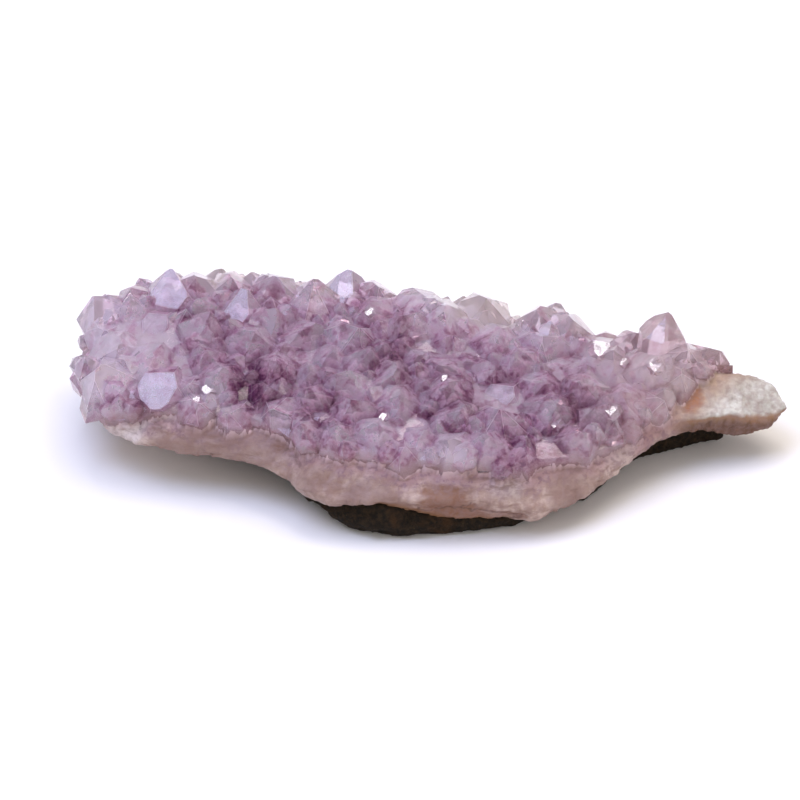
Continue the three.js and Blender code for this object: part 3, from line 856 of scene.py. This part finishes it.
# %% White quartz
QUARTZ_VOXEL = 0.5
QUARTZ_RELIEF = [(bumps, 0.25, 4.5, 0), (ridges, 0.2, 2.4, 5), (ridges, 0.16, 1.1, 11)]
LEDGE_HEIGHT = 0.2
LEDGE_TURN = 2.6  # radians for each millimetre of height, so that a ledge comes every 2.4 mm
LEDGE_SWAY, SWAY_SIZE = 2.2, 9
HOLLOW_DEPTH, HOLLOW_SIZE, HOLLOW_FROM = 0.8, 3.1, 0.4
TAIL_FROM, TAIL_FADE = 44, 6
TAIL_GRAIN, GRAIN_SIZE = 0.25, 0.9

quartz = welded_copy("white_quartz", "massive_quartz")
remesh(quartz, QUARTZ_VOXEL)
points, normals = points_and_normals(quartz.data)
steep = 1 - np.abs(normals[:, 2])
ledges = np.sin(points[:, 2] * LEDGE_TURN + LEDGE_SWAY * bumps(points, SWAY_SIZE, 3))
height = rough(points, SEAM, QUARTZ_RELIEF)
height += LEDGE_HEIGHT * ledges * steep
height -= HOLLOW_DEPTH * np.clip(ridges(points, HOLLOW_SIZE, 23) - HOLLOW_FROM, 0, 1) * steep
tail = np.clip((points[:, 0] - TAIL_FROM) / TAIL_FADE, 0, 1)
height += TAIL_GRAIN * tail * ridges(points, GRAIN_SIZE, 17)
points += normals * height[:, None]
print("quartz relief from", height.min().round(2), "to", height.max().round(2), "mm")

# %% [markdown]
# ## Milky roots
#
# The crystals grew out of the white quartz, so there is no gap of air under them, and their lower
# parts are milky. The quartz's top is raised into them: a ray from just below each point finds the
# crystals' underside and the crystal above it, and the point moves up between the two, in lumps. The
# lumps then show through the crystals, which a milky material on the crystals alone would not give.

# %% Quartz under the crystals
ROOT_CONTACT = 0.35  # how far the quartz reaches into the crystals at the least
ROOT_HEIGHT = 3.4  # the tallest of the milky roots
ROOT_SHARE = 0.5  # the most of the crystal above that a root takes
ROOT_LUMPS = [(bumps, 0.75, 2.6, 21), (bumps, 0.3, 1.2, 31)]
MEAN_LUMP = 0.45
START_BELOW, REACH, STEP_IN = 0.5, 1.6, 0.01  # where the rays start, and how far the first one goes
UPWARD = 0.1  # only points that face upwards at least this much are raised
RIM = 1.5  # the quartz counts as under the crystals from this far inside the bed's edge

lumps = np.clip(rough(points, MEAN_LUMP, ROOT_LUMPS), 0, 1)
inward = np.array([depth_and_way_out(crystal_edge, place)[0] for place in points[:, :2]])
upward = normals[:, 2] > UPWARD
under = np.clip(inward - RIM, 0, 1) * upward
for n in np.flatnonzero(upward):
    start = Vector(points[n]) * MM
    bottom = crystal_tree.ray_cast(start - UP * START_BELOW * MM, UP, REACH * MM)[0]
    if bottom is None:
        continue
    top = crystal_tree.ray_cast(bottom + UP * STEP_IN * MM, UP)[0]
    above = (top.z - bottom.z) / MM if top is not None else 0
    points[n, 2] = bottom.z / MM + ROOT_CONTACT + min(ROOT_HEIGHT, ROOT_SHARE * above) * lumps[n]
    under[n] = 1
set_points(quartz.data, points)
quartz.data.shade_smooth()
print("quartz faces", len(quartz.data.polygons), "points under crystals", int(under.sum()))

# %% [markdown]
# ## What the quartz keeps for its material
#
# The band is whiter in some places and browner in others, and iron has seeped in at a few. Both are
# soft spots again, placed after the photograph. Each point also keeps how far it is from the
# crystals and from the basalt, because each of the two colours the quartz beside it.

# %% Tones and stains
BAND_TONES = [
    ((-55, -8, 12), (12, 12, 9), 1.1), ((-37, -12, 11), (12, 10, 9), -0.9), ((-50, -14, 9), (9, 6, 5), -1.3),
    ((-31, -17, 10), (8, 8, 6), -0.9), ((-21, -24, 9), (6, 7, 6), -0.8), ((-10, -27, 8), (9, 8, 6), -1.1),
    ((5, -28, 5), (9, 8, 4), -0.6), ((13, -28, 6), (8, 7, 4), -0.5), ((16, -28, 9), (7, 7, 5), 0.6),
    ((27, -22, 7), (8, 9, 7), -1.2), ((35, -14, 10), (6, 8, 7), 0.5),
]  # places where the band is whiter, or browner if below 0
STAINS = [
    ((-26.5, -14, 10.5), (4, 5, 3), 1.3), ((6, -27, 4.2), (15, 7, 3.6), 3),
    ((48.7, -0.5, 13), (4.5, 4.5, 4), 2.6), ((50, -0.3, 13.5), (1.6, 1.6, 2), 2),
    ((2.5, -28, 7.6), (7, 6, 2.8), 2.4), ((24, -21, 5), (6, 5, 3), 0.8), ((-48, -11, 8), (6, 4, 2.5), 0.6),
]  # places that iron has stained

basalt_tree = tree_of(basalt)
from_crystals = [crystal_tree.find_nearest(Vector(p) * MM)[3] / MM for p in points]
from_basalt = [basalt_tree.find_nearest(Vector(p) * MM)[3] / MM for p in points]
keep_values(quartz, {
    "under_crystals": under, "root_lump": lumps, "from_crystals": from_crystals, "from_basalt": from_basalt,
    "zone_and_backlight": depth_and_backlight(points), "band_tone": soft_spots(points, BAND_TONES),
    "iron": soft_spots(points, STAINS), "inward": inward,
})
print("quartz carries", [a.name for a in quartz.data.attributes if a.data_type == "FLOAT"])

# %% [markdown]
# ## Basalt's surface
#
# Basalt, broken and weathered. It is dull and almost black-brown, with grains of lighter feldspar and
# a rusty skin in patches. What the eye gets is roughness alone: no highlight, only grain.

# %% Basalt, broken
stone, tree = new_material("basalt_broken")
place = add_node(tree, "ShaderNodeTexCoord").outputs["Object"]
shares = {}
# Each row: name, size in mm, where the noise starts and ends to count, and the most of its coat
for title, size, low, high, strength in (
    ("grain", 0.9, 0.35, 0.7, 1.0), ("rust", 7, 0.5, 0.75, 0.7), ("flecks", 0.5, 0.62, 0.75, 0.35),
):
    cloud = add_node(tree, "ShaderNodeTexNoise", links={
        "Vector": place, "Scale": 1 / (size * MM), "Detail": 4.0, "Roughness": 0.65})
    shares[title] = add_node(tree, "ShaderNodeMapRange", {"interpolation_type": "SMOOTHSTEP"}, {
        "Value": cloud.outputs["Fac"], "From Min": low, "From Max": high, "To Max": strength,
    }).outputs["Result"]
colour = linear("#120d07")
for share, coat in (("grain", "#2e2214"), ("rust", "#472e17"), ("flecks", "#6f6446")):
    colour = add_node(tree, "ShaderNodeMix", {"data_type": "RGBA"}, {
        0: shares[share], 6: colour, 7: linear(coat)}).outputs[2]
relief = add_node(tree, "ShaderNodeBump", links={
    "Height": shares["grain"], "Strength": 0.8, "Distance": 0.15 * MM})
surface = add_node(tree, "ShaderNodeBsdfPrincipled", links={
    "Base Color": colour, "Roughness": 0.9, "Specular IOR Level": 0.25, "Normal": relief.outputs["Normal"]})
add_node(tree, "ShaderNodeOutputMaterial", links={"Surface": surface.outputs["BSDF"]})
basalt.data.materials.clear()
basalt.data.materials.append(stone)
print(stone.name, "has", len(tree.nodes), "nodes")

# %% [markdown]
# ## White quartz's surface
#
# Massive milky quartz, broken and weathered. Tiny bubbles scatter the light inside it, so it is waxy and
# not glassy: the eye gets a light body with broad soft highlights. It is mauve where the crystals'
# colour runs into it, chalk white on the bare tail, and brown where iron stained it. The front band is
# darker than the tail, partly as painted shade of that steep wall, and the dark foot under the tail's
# ledge is partly painted shade as well. Iron creeps along the layers and the cracks, so the stains are
# broken up by both.

# %% Quartz: its patterns
LAYERS_FLAT = (0.25, 0.25, 1)  # the layers are four times as long as they are thick
LAYER_SIZE = 0.9
CRACK_SPACING = 3.5
CRACK_SWAY, CRACK_SWAY_SIZE = 1.5, 2
STAIN_BLUR = 3.0  # how strongly the layers break up a stain
END_FROM, END_TO, END_DROP = 55.5, 65.5, 2  # along the tail's end its lower ledge drops by this much

milky, tree = new_material("massive_quartz_waxy")
place = add_node(tree, "ShaderNodeTexCoord").outputs["Object"]
apart = add_node(tree, "ShaderNodeSeparateXYZ", links={"Vector": place})
carried = {
    title: add_node(tree, "ShaderNodeAttribute", {"attribute_name": title}).outputs["Fac"]
    for title in (
        "under_crystals", "root_lump", "from_crystals", "from_basalt", "zone_and_backlight", "band_tone", "iron", "inward",
    )
}
clouds = {
    title: add_node(tree, "ShaderNodeTexNoise", links={
        "Vector": place, "Scale": 1 / (size * MM), "Detail": 4.0, "Roughness": 0.6}).outputs["Fac"]
    for title, size in (("cloud", 4), ("fine", 1.1))
}
layered = add_node(tree, "ShaderNodeVectorMath", {"operation": "MULTIPLY"}, {
    0: place, 1: LAYERS_FLAT}).outputs["Vector"]
clouds["layers"] = add_node(tree, "ShaderNodeTexNoise", links={
    "Vector": layered, "Scale": 1 / (LAYER_SIZE * MM), "Detail": 3.0, "Roughness": 0.55}).outputs["Fac"]
stain = add_node(tree, "ShaderNodeMath", {"operation": "MULTIPLY_ADD"}, {
    0: clouds["layers"], 1: STAIN_BLUR, 2: carried["iron"]}).outputs["Value"]
sway = add_node(tree, "ShaderNodeTexNoise", links={
    "Vector": place, "Scale": 1 / (CRACK_SWAY_SIZE * MM)}).outputs["Color"]
wavy = add_node(tree, "ShaderNodeVectorMath", {"operation": "MULTIPLY_ADD"}, {
    0: sway, 1: (CRACK_SWAY * MM, CRACK_SWAY * MM, CRACK_SWAY * MM), 2: layered}).outputs["Vector"]
crack = add_node(tree, "ShaderNodeTexVoronoi", {"feature": "DISTANCE_TO_EDGE"}, {
    "Vector": wavy, "Scale": 1 / (CRACK_SPACING * MM)}).outputs["Distance"]
drop = add_node(tree, "ShaderNodeMapRange", links={
    "Value": apart.outputs["X"], "From Min": END_FROM * MM, "From Max": END_TO * MM,
    "To Max": END_DROP * MM}).outputs["Result"]
level = add_node(tree, "ShaderNodeMath", links={0: apart.outputs["Z"], 1: drop}).outputs["Value"]
print("quartz's patterns are ready:", ", ".join(clouds))

# %% Quartz: how much of each coat a place gets
shares = {}
# Each row: name, what it depends on, where that starts and ends to count, and the most of its coat
for title, value, low, high, strength in (
    ("cloud", clouds["cloud"], 0.35, 0.65, 1.0), ("fine", clouds["fine"], 0.3, 0.7, 0.5),
    ("white", carried["band_tone"], 0.0, 0.7, 0.75), ("brown", carried["band_tone"], 0.0, -0.7, 0.7),
    ("tail", apart.outputs["X"], 42 * MM, 50 * MM, 1.0), ("mauve", carried["from_crystals"], 3.4, 0.2, 0.8),
    ("near", carried["from_crystals"], 4.5, 1.0, 0.75), ("dots", clouds["fine"], 0.5, 0.62, 1.0),
    ("lump", carried["root_lump"], 0.2, 0.8, 1.0), ("zone_and_backlight", carried["zone_and_backlight"], 0.55, 0.15, 0.9),
    ("streak", clouds["fine"], 0.45, 0.62, 0.6), ("border", carried["inward"], 4, 0.5, 0.85),
    ("stain", stain, 1.7, 3.0, 0.85), ("streaks", clouds["layers"], 0.5, 0.7, 0.7),
    ("ledge", level, 10.2 * MM, 9.6 * MM, 0.9), ("foot", level, 9.6 * MM, 8.4 * MM, 0.85),
    ("rust", carried["from_basalt"], 1.6, 0.1, 0.7), ("beside", carried["from_crystals"], 6.5, 1, 0.85),
    ("crack", crack, 0.05, 0.0, 0.8), ("stained", carried["iron"], 0.3, 0.8, 1.0),
):
    shares[title] = add_node(tree, "ShaderNodeMapRange", {"interpolation_type": "SMOOTHSTEP"}, {
        "Value": value, "From Min": low, "From Max": high, "To Max": strength}).outputs["Result"]
for title, first, second in (("mauve_dots", "near", "dots"), ("filled", "crack", "stained")):
    shares[title] = add_node(tree, "ShaderNodeMath", {"operation": "MULTIPLY"}, {
        0: shares[first], 1: shares[second]}).outputs["Value"]
print("quartz's coats:", ", ".join(shares))

# %% Quartz: the coats of its band, its bare tail and its roots
looks = {}
# Each coat lies over the ones before it
for title, coats in (
    # The band's base is darker than the bare tail's partly as painted shade, for the front wall is out of the
    # light from above.
    ("band", [(None, "#94766a"), ("cloud", "#c6afa5"), ("mauve", "#a57f88"), ("mauve_dots", "#855f76"),
              ("white", "#e2d8d5"), ("brown", "#83665f"), ("streaks", "#7f635b"), ("stain", "#7a4c30"),
              ("filled", "#4a2a17")]),
    ("bare", [(None, "#b6b3ab"), ("cloud", "#d7d6cf"), ("beside", "#a98a72"), ("ledge", "#855a30"),
              # The dark foot under the tail's ledge is brown rock, and partly painted shade under the ledge.
              ("foot", "#522b10"), ("stain", "#96541a")]),
    # Under the pale zones the roots are paler too; along the back rim that is painted light from behind.
    ("roots", [(None, "#7d4f70"), ("lump", "#e0c8d6"), ("streak", "#734664"), ("zone_and_backlight", "#efe4ea"),
               ("border", "#c9abad")]),
):
    for share, coat in coats:
        looks[title] = linear(coat) if share is None else add_node(
            tree, "ShaderNodeMix", {"data_type": "RGBA"},
            {0: shares[share], 6: looks[title], 7: linear(coat)}).outputs[2]
colour = looks["band"]
for share, look in (
    (shares["tail"], looks["bare"]), (shares["fine"], linear("#8a6f6c")), (shares["rust"], linear("#835a35")),
    (carried["under_crystals"], looks["roots"]),
):
    colour = add_node(tree, "ShaderNodeMix", {"data_type": "RGBA"}, {0: share, 6: colour, 7: look}).outputs[2]
relief = add_node(tree, "ShaderNodeBump", links={
    "Height": clouds["fine"], "Strength": 0.9, "Distance": 0.3 * MM})
surface = add_node(tree, "ShaderNodeBsdfPrincipled", links={
    "Base Color": colour, "Roughness": 0.5, "IOR": 1.54, "Normal": relief.outputs["Normal"]})
add_node(tree, "ShaderNodeOutputMaterial", links={"Surface": surface.outputs["BSDF"]})
quartz.data.materials.clear()
quartz.data.materials.append(milky)
print(milky.name, "has", len(tree.nodes), "nodes")

# %% [markdown]
# ## Amethyst's surface and inside
#
# Amethyst is quartz coloured by iron, with an IOR of 1.55. These are natural faces, not polished ones:
# glossy, but with a haze of tiny inclusions under them. Most of the light goes in and is absorbed on
# its way, more in green than in red and blue, and the rest is scattered by the haze, which is what
# shows as a milky lilac. The haze has its own depth of colour: that of the zone, made a little deeper
# or lighter by the crystal, its sector, the fracture planes inside, cloudy spots and veils. It is also
# made deeper low down between the crystals, which is painted shade.

# %% Amethyst: its patterns
gem, tree = new_material("amethyst_natural_faces")
place = add_node(tree, "ShaderNodeTexCoord").outputs["Object"]
values = {
    title: add_node(tree, "ShaderNodeAttribute", {"attribute_name": title}).outputs["Fac"]
    for title in ("zone_and_backlight", "tint", "haze", "rise", "sector", "chipped", "clean_face_and_highlight")
}
# Each row: name, size in mm and detail
for title, size, detail in (
    ("veils", 3.5, 4.0), ("spots", 2.3, 2.0), ("waves", 1.6, 2.0), ("grain", 0.5, 2.0), ("wear_and_highlight_patches", 5, 2.0),
):
    values[title] = add_node(tree, "ShaderNodeTexNoise", links={
        "Vector": place, "Scale": 1 / (size * MM), "Detail": detail, "Roughness": 0.6}).outputs["Fac"]
PLANE_SIZE = 3.2
for title, feature, output in (("planes", "F1", "Color"), ("seams", "DISTANCE_TO_EDGE", "Distance")):
    values[title] = add_node(tree, "ShaderNodeTexVoronoi", {"feature": feature}, {
        "Vector": place, "Scale": 1 / (PLANE_SIZE * MM)}).outputs[output]
values["east"] = add_node(tree, "ShaderNodeSeparateXYZ", links={"Vector": place}).outputs["X"]
print("amethyst's values:", ", ".join(values))

# %% Amethyst: how deep its colour is
depth = values["zone_and_backlight"]
# Each row: name, where the value starts and ends to count, and how much it changes the depth
for title, low, high, most in (
    ("tint", 0, 1, 0.16), ("sector", 0, 1, 0.2), ("planes", 0.2, 0.8, 0.14), ("spots", 0.48, 0.62, 0.36),
    # The rise row makes the colour deeper low down between the crystals: painted shade.
    ("veils", 0.66, 0.4, 0.2), ("rise", 6.5, 1.8, 0.2), ("grain", 0.35, 0.65, 0.14),
):
    part = add_node(tree, "ShaderNodeMapRange", {"interpolation_type": "SMOOTHSTEP"}, {
        "Value": values[title], "From Min": low, "From Max": high, "To Min": -most / 2, "To Max": most / 2})
    depth = add_node(tree, "ShaderNodeMath", {"operation": "ADD"}, {
        0: depth, 1: part.outputs["Result"]}).outputs["Value"]
ramp = add_node(tree, "ShaderNodeValToRGB", links={"Fac": depth})
stops = ramp.color_ramp.elements  # from nearly clear to deep mauve
stops[0].position, stops[0].color = 0.05, linear("#f2e9f6")
stops[1].position, stops[1].color = 1.0, linear("#6b3462")
stops.new(0.4).color = linear("#e4c2dc")
stops.new(0.7).color = linear("#b47fa0")
print("stops of the ramp", [round(stop.position, 2) for stop in stops])

# %% [markdown]
# ## Edges, seams and clean faces
#
# A few things lie over the haze. Chipped edges are white where they are worn, and that white is
# also a painted highlight along the edges. Seams between the fracture planes inside show as fine light
# lines. The narrow end is warmer, the crystals' feet are beige where they stand on the quartz, and the
# large clean faces are the lightest and least hazy, partly by a painted reflection of the lamps.

# %% Amethyst: coats over its haze
# Worn spots of the chipped edges turn white; the white is partly real wear and partly a painted highlight
# along the edges.
edge_wear_and_highlight = add_node(tree, "ShaderNodeMapRange", {"interpolation_type": "SMOOTHSTEP"}, {
    "Value": values["wear_and_highlight_patches"], "From Min": 0.46, "From Max": 0.58, "To Min": 0.1}).outputs["Result"]
values["worn_and_highlit_edge"] = add_node(tree, "ShaderNodeMath", {"operation": "MULTIPLY"}, {
    0: edge_wear_and_highlight, 1: values["chipped"]}).outputs["Value"]
colour = ramp.outputs["Color"]
# Each row: name, where the value starts and ends to count, the most of the coat, and its colour
for title, low, high, most, coat in (
    # The pale coat of the zones is near white; along the back rim it is painted light shining through from
    # behind.
    ("east", 18 * MM, 46 * MM, 0.45, "#e6cdc2"), ("zone_and_backlight", 0.1, -0.5, 0.9, "#fbf6f4"),
    ("seams", 0.06, 0.0, 0.25, "#fbf3f8"), ("worn_and_highlit_edge", 0, 1, 0.3, "#fbf3f8"),
    # The pale coat of the large faces is partly a painted reflection of the lamps that they mirror, and a
    # painted highlight on the crystals that flash.
    ("rise", 2.6, 0, 0.85, "#cdadb0"), ("clean_face_and_highlight", 0, 1, 0.5, "#ece6f6"),
):
    part = add_node(tree, "ShaderNodeMapRange", {"interpolation_type": "SMOOTHSTEP"}, {
        "Value": values[title], "From Min": low, "From Max": high, "To Max": most})
    colour = add_node(tree, "ShaderNodeMix", {"data_type": "RGBA"}, {
        0: part.outputs["Result"], 6: colour, 7: linear(coat)}).outputs[2]
print("the amethyst's tree has", len(tree.nodes), "nodes so far")

# %% Amethyst: its faces and the light inside
frost = add_node(tree, "ShaderNodeMapRange", links={
    "Value": values["haze"], "To Min": 0.07, "To Max": 0.2}).outputs["Result"]
frost = add_node(tree, "ShaderNodeMath", {"operation": "MULTIPLY_ADD"}, {
    0: values["chipped"], 1: 0.2, 2: frost}).outputs["Value"]
relief = add_node(tree, "ShaderNodeBump", links={
    "Height": values["waves"], "Strength": 0.4, "Distance": 0.1 * MM})
surface = add_node(tree, "ShaderNodeBsdfPrincipled", links={
    "Base Color": colour, "Roughness": frost, "IOR": 1.55, "Transmission Weight": 0.72,
    "Normal": relief.outputs["Normal"]})
inside = add_node(tree, "ShaderNodeVolumeAbsorption", links={
    "Color": linear("#e7bbd4"), "Density": 28.0})
add_node(tree, "ShaderNodeOutputMaterial", links={
    "Surface": surface.outputs["BSDF"], "Volume": inside.outputs["Volume"]})
amethyst.data.materials.clear()
amethyst.data.materials.append(gem)
print(gem.name, "has", len(tree.nodes), "nodes")

# %% [markdown]
# ## Handing over the pieces
#
# Each piece takes the place of its own solid, which is hidden. The plate has
# no joints, so all three ride on the same body.

# %% Hand over
for piece, node, slot in (
    (amethyst, "amethyst_crystals", "amethyst"),
    (quartz, "white_quartz", "white_quartz"),
    (basalt, "basalt_matrix", "basalt"),
):
    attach(piece, "root")
    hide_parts(node)
